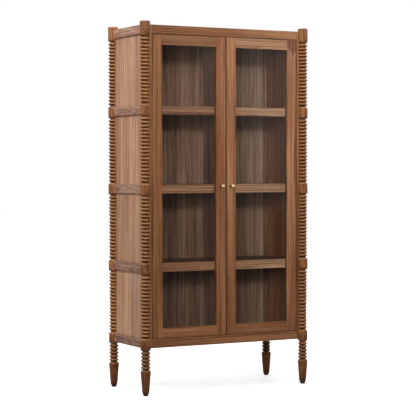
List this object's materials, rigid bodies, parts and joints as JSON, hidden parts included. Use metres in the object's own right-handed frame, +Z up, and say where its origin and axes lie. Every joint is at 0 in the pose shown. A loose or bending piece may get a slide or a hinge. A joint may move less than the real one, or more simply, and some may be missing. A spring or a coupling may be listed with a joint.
{
  "type": "glazed display cabinet",
  "caption": "Tall free-standing display cabinet of brown wood with hinged glazed doors, shelves and ridged, turned corner posts that run down into tapered legs.",
  "frame": {"origin": "on the floor, under the middle of the cabinet's outer box", "axes": "+X to the right as seen from the front, +Y to the back, +Z up"},
  "size_m": [1.057, 0.471, 2.032],
  "materials": {
    "post_wood": "satin varnish on turned wood",
    "frame_wood": "satin varnish, straight grain",
    "panel_wood": "satin varnish, upright grain",
    "clear_glass": "clear, polished",
    "brass": "satin brass",
    "steel": "plated",
    "black_plastic": "matte"
  },
  "bodies": {
    "case": {"front_left_post": "post_wood", "front_right_post": "post_wood", "back_left_post": "post_wood", "back_right_post": "post_wood", "front_left_stile": "frame_wood", "front_right_stile": "frame_wood", "back_left_stile": "frame_wood", "back_right_stile": "frame_wood", "foot_glides": "black_plastic", "front_top_rail": "frame_wood", "front_bottom_rail": "frame_wood", "back_top_rail": "frame_wood", "back_bottom_rail": "frame_wood", "left_side_rail_1": "frame_wood", "left_side_rail_2": "frame_wood", "left_side_rail_3": "frame_wood", "left_side_rail_4": "frame_wood", "left_side_rail_5": "frame_wood", "right_side_rail_1": "frame_wood", "right_side_rail_2": "frame_wood", "right_side_rail_3": "frame_wood", "right_side_rail_4": "frame_wood", "right_side_rail_5": "frame_wood", "left_side_panel_1": "panel_wood", "left_side_panel_2": "panel_wood", "left_side_panel_3": "panel_wood", "left_side_panel_4": "panel_wood", "right_side_panel_1": "panel_wood", "right_side_panel_2": "panel_wood", "right_side_panel_3": "panel_wood", "right_side_panel_4": "panel_wood", "back_panel": "panel_wood", "top_panel": "panel_wood", "bottom_panel": "panel_wood", "shelf_1": "panel_wood", "shelf_2": "panel_wood", "shelf_3": "panel_wood", "shelf_lipping_1": "frame_wood", "shelf_lipping_2": "frame_wood", "shelf_lipping_3": "frame_wood", "magnetic_catches": "black_plastic", "case_hinge_leaves": "brass"},
    "left_door": {"left_door_hinge_stile": "frame_wood", "left_door_meeting_stile": "frame_wood", "left_door_top_rail": "frame_wood", "left_door_bottom_rail": "frame_wood", "left_door_beads": "frame_wood", "left_door_glass": "clear_glass", "left_door_knob": "brass", "left_door_hinge_leaves": "brass", "left_door_strike_plate": "steel"},
    "right_door": {"right_door_hinge_stile": "frame_wood", "right_door_meeting_stile": "frame_wood", "right_door_top_rail": "frame_wood", "right_door_bottom_rail": "frame_wood", "right_door_beads": "frame_wood", "right_door_glass": "clear_glass", "right_door_knob": "brass", "right_door_hinge_leaves": "brass", "right_door_strike_plate": "steel"}
  },
  "joints": [
    {"name": "left_door_hinge", "type": "hinge", "parent": "case", "child": "left_door", "pos_m": [-0.4455, -0.1975, 0.3075], "axis": [0, 0, 1], "range_deg": [-110, 0]},
    {"name": "right_door_hinge", "type": "hinge", "parent": "case", "child": "right_door", "pos_m": [0.4455, -0.1975, 0.3075], "axis": [0, 0, 1], "range_deg": [0, 110]}
  ]
}
